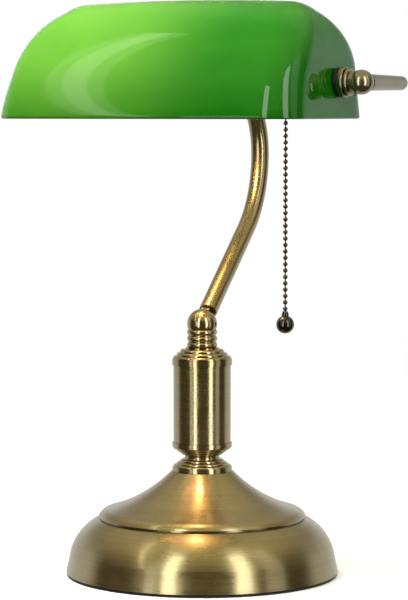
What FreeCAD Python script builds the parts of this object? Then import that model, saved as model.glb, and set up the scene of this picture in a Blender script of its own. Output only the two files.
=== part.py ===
import FreeCAD, Part
import math
import os
import Sketcher
from FreeCAD import Placement, Rotation, Vector

# Banker desk lamp: weighted round base, short column, swivel and tilting ball, curved arm,
# U-shaped yoke and a pressed glass shade that tilts between two ball elbows.
# Frame: origin at the centre of the base's underside, +Z up, -Y the front, +X the side of
# the pull chain. Millimetres. Each row is a spreadsheet alias, its value and what it is.
SIZES = [
    ("pad_thick", 2.0, "felt under the base"),
    ("pad_radius", 94.0, "felt disc"),
    ("plate_thick", 1.0, "steel bottom plate"),
    ("plate_radius", 93.0, "steel bottom plate"),
    ("weight_radius", 64.0, "cast weight in the base"),
    ("weight_thick", 11.0, "cast weight"),
    ("weight_recess_radius", 16.0, "recess for the lower nut"),
    ("weight_recess_depth", 8.0, "recess for the lower nut"),
    ("base_radius", 94.6, "foot of the spun shell"),
    ("shell_wall", 1.2, "spun shell"),
    ("bowl_low_radius", 91.5, "where the bowl starts to round over"),
    ("bowl_low_height", 17.0, "where the bowl starts to round over"),
    ("bowl_top_radius", 72.4, "top of the bowl"),
    ("bowl_top_height", 39.2, "top of the bowl"),
    ("bowl_round", 34.5, "rounding of the bowl"),
    ("bead_groove", 1.4, "groove under the bead, each way"),
    ("bead_groove_slope", 0.4, "rise of the groove's lower side"),
    ("bead_inset", 0.3, "lower edge of the bead, inside the bowl's top"),
    ("bead_round", 8.0, "rounding of the bead"),
    ("flare_low_radius", 66.6, "lower end of the flare"),
    ("flare_low_height", 45.4, "lower end of the flare"),
    ("flare_round", 100.0, "hollow curve of the flare"),
    ("flare_top_radius", 21.6, "upper end of the flare"),
    ("shell_top_height", 72.0, "top of the spun shell"),
    ("inlet_height", 11.0, "middle of the cord inlet"),
    ("inlet_lean", 11.5, "wall's lean at the cord inlet, degrees"),
    ("inlet_hole_radius", 5.0, "hole in the shell for the bushing"),
    ("inlet_flange_radius", 7.0, "outer flange of the bushing"),
    ("inlet_flange_thick", 1.5, "flanges of the bushing"),
    ("inlet_lip_radius", 5.8, "inner lip of the bushing"),
    ("inlet_grip", 1.5, "wall that the bushing grips"),
    ("inlet_bore_radius", 3.2, "way for a cord"),
    ("pipe_radius", 4.75, "threaded lamp pipe"),
    ("pipe_bore_radius", 3.3, "way for the wires"),
    ("pipe_low_height", 5.0, "lower end of the centre pipe"),
    ("pipe_top_height", 160.0, "upper end of the centre pipe"),
    ("pipe_hole_radius", 4.85, "clearance hole for the pipe"),
    ("nut_corner_radius", 8.1, "hexagon nut, centre to corner"),
    ("nut_thick", 4.0, "hexagon nut"),
    ("washer_radius", 11.0, "flat washer in the base"),
    ("washer_thick", 1.0, "flat washers"),
    ("wire_radius", 2.0, "bundle of inner wires"),
    ("cap_radius", 20.8, "band of the column caps"),
    ("cap_steps", 3.0, "rounded steps on each cap"),
    ("cap_ledge", 0.5, "flat part of each step"),
    ("cap_step_width", 2.5, "radius lost at each step"),
    ("cap_step_round", 2.0, "rounding of each step"),
    ("low_band_height", 3.0, "band of the two lower caps"),
    ("low_step_height", 1.87, "steps of the two lower caps"),
    ("top_band_height", 4.0, "band of the top cap"),
    ("top_step_height", 2.3, "steps of the top cap"),
    ("cap_boss_radius", 11.5, "seat of the collar on the top cap"),
    ("cap_boss_height", 1.1, "seat of the collar on the top cap"),
    ("neck_radius", 11.7, "ring between base and column"),
    ("neck_height", 2.8, "ring between base and column"),
    ("neck_waist", 0.7, "hollow of that ring"),
    ("column_radius", 19.9, "column tube"),
    ("column_wall", 1.2, "column tube"),
    ("column_length", 54.0, "column tube seen between the caps"),
    ("column_seat", 2.4, "tube's depth in each cap"),
    ("collar_groove_radius", 9.6, "grooves between the rings"),
    ("collar_ring_height", 3.6, "each ring"),
    ("collar_ring_round", 2.25, "rounding of each ring"),
    ("collar_groove_height", 0.65, "each groove"),
    ("collar_cup_radius", 7.0, "hollow of the collar"),
    ("collar_cup_depth", 6.5, "hollow of the collar"),
    ("reducer_height", 3.0, "bush between pipe and collar"),
    ("swivel_gap", 0.3, "gap at the swivel"),
    ("stem_radius", 4.4, "swivel stem"),
    ("stem_bore_radius", 2.6, "way for the wires"),
    ("stem_clearance", 0.05, "running fit of the stem"),
    ("stem_flange_radius", 6.6, "head that holds the stem in"),
    ("stem_flange_thick", 1.5, "head that holds the stem in"),
    ("stem_grip", 2.3, "stem's length in the ball housing"),
    ("ball_radius", 10.4, "ball at the foot of the arm"),
    ("ball_height", 174.3, "centre of that ball and of the tilt pin"),
    ("ball_waist_drop", 3.5, "from the ball's centre to its waist"),
    ("tilt_slot", 7.4, "slot across the ball"),
    ("tilt_cavity_radius", 4.9, "round end of that slot"),
    ("tilt_side_gap", 4.6, "slot's edge to the tongue's line"),
    ("tilt_swing", 20.0, "tilt each way, degrees"),
    ("pin_radius", 1.6, "tilt pin"),
    ("pin_clearance", 0.05, "running fit of the tilt pin"),
    ("pin_half_length", 9.8, "tilt pin"),
    ("tongue_thick", 6.0, "flat tongue of the arm"),
    ("tongue_eye_radius", 4.6, "eye of the tongue"),
    ("tongue_half_width", 4.3, "tongue"),
    ("tongue_shoulder", 12.4, "pin to shoulder"),
    ("tongue_rim", 0.6, "shoulder's thickness"),
    ("tongue_plug_length", 9.0, "plug in the tube"),
    ("tilt_washer_thick", 0.6, "washers beside the tongue"),
    ("tilt_washer_radius", 4.5, "washers beside the tongue"),
    ("arm_radius", 6.35, "arm tube"),
    ("arm_bore_radius", 5.2, "arm tube"),
    ("arm_lean", 48.0, "lean of the straight part, degrees"),
    ("arm_straight", 93.6, "pin to the start of the first bend"),
    ("arm_low_bend", 72.4, "first bend, up to vertical"),
    ("arm_top_bend", 50.0, "second bend, over to the yoke"),
    ("arm_top_turn", 65.0, "turn of the second bend, degrees"),
    ("arm_end", 5.0, "straight end in the hub"),
    ("hub_radius", 9.0, "ball where arm and yoke meet"),
    ("hub_seat", 5.0, "hub's centre to the end of the arm"),
    ("yoke_radius", 4.85, "rear bar of the yoke"),
    ("yoke_bore_radius", 3.2, "way for the wires"),
    ("yoke_bend", 9.0, "corners of the yoke"),
    ("elbow_offset", 127.4, "lamp's middle to each elbow"),
    ("elbow_radius", 8.3, "ball elbow"),
    ("elbow_neck_radius", 7.2, "neck of the elbow"),
    ("elbow_neck_end", 7.4, "ball's centre to the neck's end"),
    ("elbow_socket_depth", 5.0, "ball's centre to the end of the side arm"),
    ("elbow_passage_radius", 2.5, "way for the wires"),
    ("side_arm_root_radius", 5.65, "side arm at the elbow"),
    ("side_collar_start", 8.3, "elbow's centre to the side arm's collar"),
    ("side_collar_width", 1.7, "collar of the side arm"),
    ("side_collar_radius", 6.2, "collar of the side arm"),
    ("side_collar_chamfer", 0.3, "collar of the side arm"),
    ("spacer_radius", 9.4, "thin ring beside the elbow"),
    ("spacer_boss_radius", 8.2, "boss between the rings"),
    ("spacer_boss_thick", 0.5, "boss between the rings"),
    ("collar_nut_radius", 10.2, "thick ring beside the shade"),
    ("collar_nut_thick", 4.0, "thick ring"),
    ("ring_round", 0.9, "rounded edges of both rings"),
    ("shade_gap", 0.1, "gap between turning and still rings"),
    ("grommet_radius", 9.8, "rubber washers of the grommet"),
    ("grommet_sleeve_radius", 5.6, "grommet in the glass"),
    ("grommet_bore_radius", 4.83, "grommet on the nipple"),
    ("grommet_out_thick", 2.4, "outer rubber washer"),
    ("grommet_in_thick", 2.2, "inner rubber washer"),
    ("nipple_bore_radius", 3.2, "way for the wires"),
    ("nipple_in_elbow", 1.0, "elbow's centre to the nipple's end"),
    ("nipple_nut_thick", 3.5, "nut inside the shade"),
    ("inner_washer_radius", 9.0, "brass washer inside the shade"),
    ("shade_half_length", 112.5, "glass shade, half its length"),
    ("shade_front", 80.0, "knob axis to the front rim"),
    ("shade_rear", 50.0, "knob axis to the rear rim"),
    ("shade_height", 80.6, "glass shade"),
    ("shade_shoulder", 30.0, "upright part of ends and rear"),
    ("shade_end_round", 33.0, "rounding of the ends, along the lamp"),
    ("shade_end_draft", 3.2, "ends' lean up to the shoulder"),
    ("shade_front_power", 1.35, "fullness of the front slope"),
    ("shade_corner", 22.0, "corners seen from above"),
    ("shade_corner_share", 0.45, "most of the depth that a corner takes"),
    ("shade_crown_share", 0.02, "flattest part of the ridge, of the height"),
    ("shade_crown_flat", 0.2, "flat top, of that part"),
    ("shade_wall", 4.0, "glass"),
    ("shade_rim_drop", 24.2, "knob axis to the rim"),
    ("knob_back", -20.0, "knob axis, behind the column"),
    ("spot_radius", 11.0, "ground spots round the holes"),
    ("spot_out", 110.6, "outer ground spot, from the middle"),
    ("spot_in", 106.4, "inner ground spot, from the middle"),
    ("socket_cap_end", 16.5, "lampholder cap, length"),
    ("socket_cap_radius", 17.2, "lampholder cap"),
    ("socket_neck_radius", 7.0, "neck of the cap"),
    ("socket_neck_length", 5.0, "neck of the cap"),
    ("socket_cap_round", 13.0, "dome of the cap"),
    ("socket_wall", 0.8, "lampholder sheet"),
    ("socket_shell_radius", 18.0, "lampholder shell"),
    ("socket_shell_length", 45.0, "lampholder shell"),
    ("socket_overlap", 2.5, "shell over the cap"),
    ("liner_wall", 1.0, "insulating sleeve"),
    ("block_radius", 15.9, "switch block"),
    ("block_length", 20.0, "switch block"),
    ("screw_shell_radius", 14.1, "screw shell for the bulb"),
    ("screw_bore_radius", 13.3, "screw shell for the bulb"),
    ("screw_depth", 19.0, "screw shell for the bulb"),
    ("contact_radius", 3.2, "centre contact"),
    ("contact_height", 3.0, "centre contact"),
    ("chain_offset", 72.5, "lamp's middle to the pull chain"),
    ("bead_radius", 1.6, "beads of the chain"),
    ("bead_pitch", 4.3, "bead to bead"),
    ("chain_wire_radius", 0.5, "links between beads"),
    ("chain_low_height", 188.6, "lowest bead"),
    ("hanging_beads", 30.0, "beads below the guide"),
    ("guided_beads", 4.0, "beads in the guide"),
    ("bell_radius", 3.5, "chain guide"),
    ("bell_bore_radius", 2.3, "chain guide"),
    ("bell_mouth_radius", 4.4, "mouth of the chain guide"),
    ("bell_low_height", 316.6, "mouth of the chain guide"),
    ("bell_top_height", 324.4, "top of the chain guide"),
    ("bell_mouth_height", 1.6, "mouth of the chain guide"),
    ("bell_seat", 1.0, "room over the guide in the switch block"),
    ("chain_well_radius", 2.7, "chain's room in the switch block"),
    ("chain_well_top", 336.0, "chain's room in the switch block"),
    ("pendant_radius", 6.1, "ball at the end of the chain"),
    ("pendant_height", 178.0, "centre of that ball"),
    ("pendant_flat", 0.3, "cut off the ball's top, under the collar"),
    ("pendant_collar_radius", 2.4, "collar over the ball"),
    ("pendant_collar_top", 187.0, "top of the collar"),
]

doc = FreeCAD.newDocument("banker_lamp")
sheet = doc.addObject("Spreadsheet::Sheet", "Sizes")
parts = []


class Size:
    """A dimension that carries both its value and its spreadsheet expression."""

    def __init__(self, value, text):
        self.value = value
        self.text = text

    def joined(self, sign, other, value):
        return Size(value, f"({self.text} {sign} {as_size(other).text})")

    def __add__(self, other):
        return self.joined("+", other, self.value + as_size(other).value)

    def __sub__(self, other):
        return self.joined("-", other, self.value - as_size(other).value)

    def __mul__(self, other):
        return self.joined("*", other, self.value * as_size(other).value)

    def __neg__(self):
        return Size(-self.value, f"(0 - {self.text})")


def as_size(item):
    return item if isinstance(item, Size) else Size(float(item), repr(float(item)))


def sine(angle):
    return Size(math.sin(math.radians(angle.value)), f"sin({angle.text} * 1 deg)")


def cosine(angle):
    return Size(math.cos(math.radians(angle.value)), f"cos({angle.text} * 1 deg)")


class Sheet:
    """The spreadsheet's cells, read by alias as sizes."""

    def __init__(self, rows):
        for row, (alias, value, note) in enumerate(rows, start=1):
            sheet.set(f"A{row}", alias)
            sheet.set(f"B{row}", str(value))
            sheet.setAlias(f"B{row}", alias)
            sheet.set(f"C{row}", note)
            setattr(self, alias, Size(value, f"Sizes.{alias}"))
        doc.recompute()


S = Sheet(SIZES)
ORIGIN = (as_size(0), as_size(0), as_size(0))
UP = Rotation()
DOWN = Rotation(Vector(1, 0, 0), 180)
RIGHT = Rotation(Vector(0, 1, 0), 90)
LEFT = Rotation(Vector(0, 1, 0), -90)
BACK = Rotation(Vector(1, 0, 0), -90)


# ---- places worked out from the sizes -------------------------------------------------

SHELL_TOP = S.shell_top_height
LOW_CAP_HEIGHT = S.low_band_height + S.cap_steps * S.low_step_height
NECK_LOW = SHELL_TOP + LOW_CAP_HEIGHT
COLUMN_LOW = NECK_LOW + S.neck_height + LOW_CAP_HEIGHT
COLUMN_TOP = COLUMN_LOW + S.column_length
COLLAR_LOW = COLUMN_TOP + S.top_band_height + S.cap_steps * S.top_step_height + S.cap_boss_height
COLLAR_TOP = COLLAR_LOW + S.collar_ring_height * 2 + S.collar_groove_height * 2
HOUSING_LOW = COLLAR_TOP + S.swivel_gap
WEIGHT_LOW = S.pad_thick + S.plate_thick
WEIGHT_TOP = WEIGHT_LOW + S.weight_thick
ARM_RISE = S.arm_straight * cosine(S.arm_lean) + S.arm_low_bend * sine(S.arm_lean)
ARM_REACH = S.arm_straight * sine(S.arm_lean) + S.arm_low_bend * (as_size(1) - cosine(S.arm_lean))
ARM_TAIL = S.arm_end + S.hub_seat
HUB_Y = ARM_REACH - S.arm_top_bend * (as_size(1) - cosine(S.arm_top_turn)) - ARM_TAIL * sine(S.arm_top_turn)
HUB_Z = S.ball_height + ARM_RISE + S.arm_top_bend * sine(S.arm_top_turn) + ARM_TAIL * cosine(S.arm_top_turn)
KNOB_Y = S.knob_back
KNOB_Z = HUB_Z
RIM_Z = KNOB_Z - S.shade_rim_drop
GROMMET_OUT = S.spot_out + S.grommet_out_thick
GROMMET_IN = S.spot_in - S.grommet_in_thick
INNER_WASHER_X = GROMMET_IN - S.shade_gap - S.washer_thick
NIPPLE_NUT_X = INNER_WASHER_X - S.nipple_nut_thick
COLLAR_NUT_X = GROMMET_OUT + S.shade_gap
SPACER_X = COLLAR_NUT_X + S.collar_nut_thick
SOCKET_X = NIPPLE_NUT_X
SHELL_X = SOCKET_X - S.socket_cap_end + S.socket_overlap
BLOCK_X = SHELL_X - S.socket_overlap - S.washer_thick
SCREW_X = BLOCK_X - S.block_length
HINGE_Z = S.chain_low_height + (S.hanging_beads - 0.5) * S.bead_pitch


# ---- ways of making a piece -----------------------------------------------------------

def origin_plane(body, role):
    return [item for item in body.Origin.OriginFeatures if item.Role == role][0]


def new_sketch(body, name, role="XZ_Plane", offset=None):
    sketch = body.newObject("Sketcher::SketchObject", name)
    sketch.AttachmentSupport = [(origin_plane(body, role), "")]
    sketch.MapMode = "FlatFace"
    if offset is not None:
        sketch.AttachmentOffset = Placement(Vector(0, 0, offset.value), Rotation())
        sketch.setExpression(".AttachmentOffset.Base.z", offset.text)
    return sketch


def bind(sketch, constraint, size):
    """Add a constraint that follows the spreadsheet."""
    index = sketch.addConstraint(constraint)
    sketch.setExpression(f"Constraints[{index}]", size.text)


def pin_point(sketch, edge, end, across, along):
    """Hold the end of an edge at a place given by two sizes."""
    for size, kind, axis in ((across, "DistanceX", -2), (along, "DistanceY", -1)):
        if abs(size.value) < 1e-9:
            sketch.addConstraint(Sketcher.Constraint("PointOnObject", edge, end, axis))
        else:
            bind(sketch, Sketcher.Constraint(kind, edge, end, size.value), size)


def arc_between(start, end, bend):
    """Arc from start to end, turning left where bend is positive and right where negative."""
    chord = end - start
    side = Vector(-chord.y, chord.x, 0).normalize()
    if bend < 0:
        side = side.negative()
    reach = math.sqrt(max(bend ** 2 - (chord.Length / 2) ** 2, 0))
    centre = start + chord * 0.5 + side * reach
    circle = Part.Circle(centre, Vector(0, 0, 1), abs(bend))
    first = math.atan2(start.y - centre.y, start.x - centre.x)
    last = math.atan2(end.y - centre.y, end.x - centre.x)
    if bend < 0:
        first, last = last, first
    return Part.ArcOfCircle(circle, first, last)


def draw_outline(sketch, corners, closed=True):
    """Lines and arcs through corners of (across, along) or (across, along, bend)."""
    corners = [tuple(as_size(item) for item in corner) for corner in corners]
    spots = [Vector(corner[0].value, corner[1].value, 0) for corner in corners]
    count = len(corners) if closed else len(corners) - 1
    edges = []
    for index in range(count):
        target = (index + 1) % len(corners)
        bend = corners[target][2] if len(corners[target]) == 3 else None
        if bend is None:
            shape = Part.LineSegment(spots[index], spots[target])
        else:
            shape = arc_between(spots[index], spots[target], bend.value)
        edge = sketch.addGeometry(shape, False)
        turned_right = bend is not None and bend.value < 0
        edges.append((edge, 2 if turned_right else 1, 1 if turned_right else 2))
        if bend is not None:
            radius = bend if bend.value > 0 else -bend
            bind(sketch, Sketcher.Constraint("Radius", edge, radius.value), radius)
    for index, (edge, start, end) in enumerate(edges):
        pin_point(sketch, edge, start, corners[index][0], corners[index][1])
        if closed or index + 1 < count:
            following = edges[(index + 1) % count]
            sketch.addConstraint(Sketcher.Constraint("Coincident", edge, end, following[0], following[1]))
    if not closed:
        edge, start, end = edges[-1]
        pin_point(sketch, edge, end, corners[-1][0], corners[-1][1])


def draw_circle(sketch, radius, across=as_size(0), along=as_size(0)):
    centre = Vector(across.value, along.value, 0)
    edge = sketch.addGeometry(Part.Circle(centre, Vector(0, 0, 1), radius.value), False)
    bind(sketch, Sketcher.Constraint("Radius", edge, radius.value), radius)
    pin_point(sketch, edge, 3, across, along)


def place(item, spot=ORIGIN, turn=UP):
    """Put an object in the lamp's frame, its position bound to the spreadsheet."""
    item.Placement = Placement(Vector(*[size.value for size in spot]), turn)
    for axis, size in zip("xyz", spot):
        item.setExpression(f".Placement.Base.{axis}", size.text)
    return item


def keep(item, name):
    """List an object as one of the lamp's pieces."""
    item.Label = name
    parts.append(item)
    return item


def turned(name, corners, spot=ORIGIN, turn=UP, kept=True):
    """Body whose outline of (radius, height) corners is turned about its own Z axis."""
    body = doc.addObject("PartDesign::Body", name + "_body")
    sketch = new_sketch(body, name + "_outline")
    draw_outline(sketch, corners)
    turn_feature = body.newObject("PartDesign::Revolution", name + "_turn")
    turn_feature.Profile = sketch
    turn_feature.ReferenceAxis = (sketch, ["V_Axis"])
    turn_feature.Angle = 360
    body.Tip = turn_feature
    place(body, spot, turn)
    return keep(body, name) if kept else body


def ring(name, outer, inner, low, high, spot=ORIGIN, turn=UP, kept=True):
    """Plain tube, disc with a hole, or washer."""
    corners = [(inner, low), (outer, low), (outer, high), (inner, high)]
    return turned(name, corners, spot, turn, kept)


def rod(name, radius, low, high, spot=ORIGIN, turn=UP, kept=True):
    return ring(name, radius, as_size(0), low, high, spot, turn, kept)


def pocket(body, name, role, length, draw):
    """Cut a drawn shape through a body, evenly to both sides of an origin plane."""
    doc.recompute()
    before = body.Shape.Volume
    sketch = new_sketch(body, name + "_shape", role)
    draw(sketch)
    cut = body.newObject("PartDesign::Pocket", name)
    cut.Profile = sketch
    cut.Midplane = True
    cut.Length = length.value
    cut.setExpression("Length", length.text)
    body.Tip = cut
    doc.recompute()
    if body.Shape.Volume >= before:
        raise RuntimeError(f"{name} removes nothing")


def cylinder(name, radius, length, spot=ORIGIN, turn=UP):
    """Plain cylinder used for cutting and joining."""
    item = doc.addObject("Part::Cylinder", name)
    item.Radius = radius.value
    item.setExpression("Radius", radius.text)
    item.Height = length.value
    item.setExpression("Height", length.text)
    return place(item, spot, turn)


def cut_away(name, base, tools, kept=True):
    """Piece left of base when every tool is cut from it."""
    for number, tool in enumerate(tools, start=1):
        result = doc.addObject("Part::Cut", f"{name}_cut{number}")
        result.Base = base
        result.Tool = tool
        base = result
    return keep(base, name) if kept else base


def fused(name, items):
    result = doc.addObject("Part::MultiFuse", name)
    result.Shapes = items
    return result


def swept_tube(name, path, role, profile_role, start, outer, inner, spot, turn):
    """Body swept along an open path: a tube, or a rod where inner is None."""
    body = doc.addObject("PartDesign::Body", name + "_body")
    spine = new_sketch(body, name + "_path", role)
    draw_outline(spine, path, closed=False)
    for radius, kind in ((outer, "PartDesign::AdditivePipe"), (inner, "PartDesign::SubtractivePipe")):
        if radius is None:
            continue
        profile = new_sketch(body, f"{name}_{kind[12:]}_section", profile_role, start[2])
        draw_circle(profile, radius, start[0], start[1])
        doc.recompute()
        pipe = body.newObject(kind, f"{name}_{kind[12:]}")
        pipe.Profile = profile
        pipe.Spine = (spine, [])
        body.Tip = pipe
        doc.recompute()
    place(body, spot, turn)
    return keep(body, name)


def hexagon_nut(name, low, thick, spot=ORIGIN, turn=UP):
    prism = doc.addObject("Part::Prism", name + "_blank")
    prism.Polygon = 6
    prism.Circumradius = S.nut_corner_radius.value
    prism.setExpression("Circumradius", S.nut_corner_radius.text)
    prism.Height = thick.value
    prism.setExpression("Height", thick.text)
    place(prism, (ORIGIN[0], ORIGIN[1], low))
    hole = cylinder(name + "_hole", S.pipe_radius, thick, (ORIGIN[0], ORIGIN[1], low))
    nut = cut_away(name, prism, [hole], kept=False)
    place(nut, spot, turn)
    return keep(nut, name)


# ---- base -----------------------------------------------------------------------------

def base_shell():
    wall = S.shell_wall
    groove_low = S.bowl_top_height + S.bead_groove_slope
    groove_top = S.bowl_top_height + S.bead_groove
    groove_radius = S.bowl_top_radius - S.bead_groove
    outside = [
        (S.base_radius, S.pad_thick),
        (S.bowl_low_radius, S.bowl_low_height),
        (S.bowl_top_radius, S.bowl_top_height, S.bowl_round),
        (groove_radius, groove_low),
        (groove_radius, groove_top),
        (S.bowl_top_radius - S.bead_inset, groove_top + S.bead_inset),
        (S.flare_low_radius, S.flare_low_height, S.bead_round),
        (S.flare_top_radius, SHELL_TOP, -S.flare_round),
    ]
    inside = [
        (S.pipe_hole_radius, SHELL_TOP),
        (S.pipe_hole_radius, SHELL_TOP - wall),
        (S.flare_top_radius - wall, SHELL_TOP - wall),
        (S.flare_low_radius - wall, S.flare_low_height - wall, S.flare_round),
        (groove_radius - wall, groove_low),
        (S.bowl_top_radius - wall, S.bowl_top_height - wall),
        (S.bowl_low_radius - wall, S.bowl_low_height, -(S.bowl_round - wall)),
        (S.base_radius - wall, S.pad_thick),
    ]
    shell = turned("base_shell_blank", outside + inside, kept=False)
    reach = S.inlet_hole_radius
    hole = cylinder("inlet_hole", S.inlet_hole_radius, reach * 2, inlet_spot(-reach), inlet_turn())
    cut_away("base_shell", shell, [hole])


def inlet_turn():
    return Rotation(Vector(1, 0, 0), S.inlet_lean.value - 90)


def inlet_spot(out):
    """Point on the cord inlet's axis, a way out from the shell's outer wall."""
    slope = (S.base_radius.value - S.bowl_low_radius.value) / (S.bowl_low_height.value - S.pad_thick.value)
    drop = S.inlet_height - S.pad_thick
    wall_y = S.base_radius - drop * slope
    return (ORIGIN[0], wall_y + out * cosine(S.inlet_lean), S.inlet_height + out * sine(S.inlet_lean))


def cord_bushing():
    grip = -S.inlet_grip
    corners = [
        (S.inlet_bore_radius, grip - S.inlet_flange_thick),
        (S.inlet_lip_radius, grip - S.inlet_flange_thick),
        (S.inlet_lip_radius, grip),
        (S.inlet_hole_radius, grip),
        (S.inlet_hole_radius, as_size(0)),
        (S.inlet_flange_radius, as_size(0)),
        (S.inlet_lip_radius, S.inlet_flange_thick, S.inlet_flange_thick),
        (S.inlet_bore_radius, S.inlet_flange_thick),
    ]
    turned("cord_bushing", corners, inlet_spot(as_size(0)), inlet_turn())


def base_inside():
    rod("base_pad", S.pad_radius, as_size(0), S.pad_thick)
    rod("bottom_plate", S.plate_radius, S.pad_thick, WEIGHT_LOW)
    ceiling = WEIGHT_LOW + S.weight_recess_depth
    corners = [
        (S.weight_recess_radius, WEIGHT_LOW),
        (S.weight_radius, WEIGHT_LOW),
        (S.weight_radius, WEIGHT_TOP),
        (S.pipe_hole_radius, WEIGHT_TOP),
        (S.pipe_hole_radius, ceiling),
        (S.weight_recess_radius, ceiling),
    ]
    turned("base_weight", corners)
    ring("base_washer", S.washer_radius, S.pipe_hole_radius, ceiling - S.washer_thick, ceiling)
    hexagon_nut("base_nut", ceiling - S.washer_thick - S.nut_thick, S.nut_thick)
    hexagon_nut("weight_locknut", WEIGHT_TOP, S.nut_thick)
    ring("centre_pipe", S.pipe_radius, S.pipe_bore_radius, S.pipe_low_height, S.pipe_top_height)
    rod("column_wires", S.wire_radius, S.pipe_low_height, S.pipe_top_height)


# ---- column ---------------------------------------------------------------------------

def stepped_cap(name, band, step, seat, boss, height, turn=UP):
    """Cap with an upright band and rounded steps, its band's edge at the given height."""
    corners = [(S.cap_radius, as_size(0)), (S.cap_radius, band)]
    radius = S.cap_radius
    level = band
    for _ in range(int(S.cap_steps.value)):
        corners.append((radius - S.cap_ledge, level))
        radius = radius - S.cap_step_width
        level = level + step
        corners.append((radius, level, S.cap_step_round))
    if boss is not None:
        corners.append((S.cap_boss_radius, level))
        level = level + boss
        corners.append((S.cap_boss_radius, level))
    corners.append((S.pipe_hole_radius, level))
    if seat is None:
        corners.append((S.pipe_hole_radius, as_size(0)))
    else:
        corners += [(S.pipe_hole_radius, seat), (S.column_radius, seat), (S.column_radius, as_size(0))]
    turned(name, corners, (ORIGIN[0], ORIGIN[1], height), turn)


def column():
    low_band, low_step = S.low_band_height, S.low_step_height
    stepped_cap("base_flange", low_band, low_step, None, None, SHELL_TOP)
    neck_top = NECK_LOW + S.neck_height
    corners = [
        (S.pipe_hole_radius, NECK_LOW),
        (S.neck_radius + S.neck_waist, NECK_LOW),
        (S.neck_radius + S.neck_waist, neck_top, -S.neck_height),
        (S.pipe_hole_radius, neck_top),
    ]
    turned("neck_ring", corners)
    stepped_cap("column_foot_cap", low_band, low_step, S.column_seat, None, COLUMN_LOW, DOWN)
    stepped_cap("column_top_cap", S.top_band_height, S.top_step_height, S.column_seat,
                S.cap_boss_height, COLUMN_TOP)
    ring("column_tube", S.column_radius, S.column_radius - S.column_wall,
         COLUMN_LOW - S.column_seat, COLUMN_TOP + S.column_seat)


def ringed_side(low, count):
    """Outline of half-round rings and grooves, upwards from low."""
    corners = []
    level = low
    for _ in range(count):
        corners.append((S.collar_groove_radius, level))
        level = level + S.collar_ring_height
        corners.append((S.collar_groove_radius, level, S.collar_ring_round))
        level = level + S.collar_groove_height
    return corners


def collar():
    cup_top = COLLAR_LOW + S.collar_cup_depth
    lip = S.stem_radius + S.stem_clearance
    corners = ringed_side(COLLAR_LOW, 2)
    corners += [
        (S.collar_groove_radius, COLLAR_TOP),
        (lip, COLLAR_TOP),
        (lip, cup_top),
        (S.collar_cup_radius, cup_top),
        (S.collar_cup_radius, COLLAR_LOW),
    ]
    turned("swivel_collar", corners)
    ring("collar_reducer", S.collar_cup_radius, S.pipe_radius, COLLAR_LOW, COLLAR_LOW + S.reducer_height)


# ---- swivel ---------------------------------------------------------------------------

def swivel():
    cup_top = COLLAR_LOW + S.collar_cup_depth
    washer_top = cup_top - S.shade_gap
    flange_top = washer_top - S.washer_thick
    ring("swivel_washer", S.stem_flange_radius, S.stem_radius, flange_top, washer_top)
    stem_top = HOUSING_LOW + S.stem_grip
    corners = [
        (S.stem_bore_radius, flange_top - S.stem_flange_thick),
        (S.stem_flange_radius, flange_top - S.stem_flange_thick),
        (S.stem_flange_radius, flange_top),
        (S.stem_radius, flange_top),
        (S.stem_radius, stem_top),
        (S.stem_bore_radius, stem_top),
    ]
    turned("swivel_stem", corners)


def slot_shape(sketch):
    """Side view of the slot: room for the tongue over its whole tilt."""
    far = S.ball_radius * 2
    front = S.arm_lean - S.tilt_swing
    rear = S.arm_lean + S.tilt_swing
    gap = S.tilt_side_gap
    front_root = (-(gap * cosine(front)), S.ball_height + gap * sine(front))
    rear_root = (gap * cosine(rear), S.ball_height - gap * sine(rear))
    front_tip = (front_root[0] + far * sine(front), front_root[1] + far * cosine(front))
    rear_tip = (rear_root[0] + far * sine(rear), rear_root[1] + far * cosine(rear))
    draw_outline(sketch, [front_root, rear_root, rear_tip, front_tip])


def pivot_ball():
    stem_top = HOUSING_LOW + S.stem_grip
    waist = S.ball_height - S.ball_waist_drop
    waist_radius = math.sqrt(S.ball_radius.value ** 2 - S.ball_waist_drop.value ** 2)
    waist_size = Size(waist_radius, f"sqrt({S.ball_radius.text} ^ 2 - {S.ball_waist_drop.text} ^ 2)")
    corners = [(S.stem_radius, HOUSING_LOW)] + ringed_side(HOUSING_LOW, 1)
    corners += [
        (waist_size, waist),
        (as_size(0), S.ball_height + S.ball_radius, S.ball_radius),
        (as_size(0), stem_top),
        (S.stem_radius, stem_top),
    ]
    body = turned("pivot_ball", corners)
    pocket(body, "tilt_slot", "YZ_Plane", S.tilt_slot, slot_shape)
    pocket(body, "tilt_cavity", "YZ_Plane", S.tilt_slot,
           lambda sketch: draw_circle(sketch, S.tilt_cavity_radius, as_size(0), S.ball_height))
    pocket(body, "pin_hole", "YZ_Plane", S.ball_radius * 2,
           lambda sketch: draw_circle(sketch, S.pin_radius, as_size(0), S.ball_height))


def tilt_pin():
    middle = (ORIGIN[0], ORIGIN[1], S.ball_height)
    rod("tilt_pin", S.pin_radius, -S.pin_half_length, S.pin_half_length, middle, RIGHT)
    near = S.tongue_thick * 0.5 + S.pin_clearance
    for side, turn in (("left", LEFT), ("right", RIGHT)):
        ring(f"tilt_washer_{side}", S.tilt_washer_radius, S.pin_radius, near,
             near + S.tilt_washer_thick, middle, turn)


# ---- arm ------------------------------------------------------------------------------

def arm_turn():
    return Rotation(Vector(1, 0, 0), -S.arm_lean.value)


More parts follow.
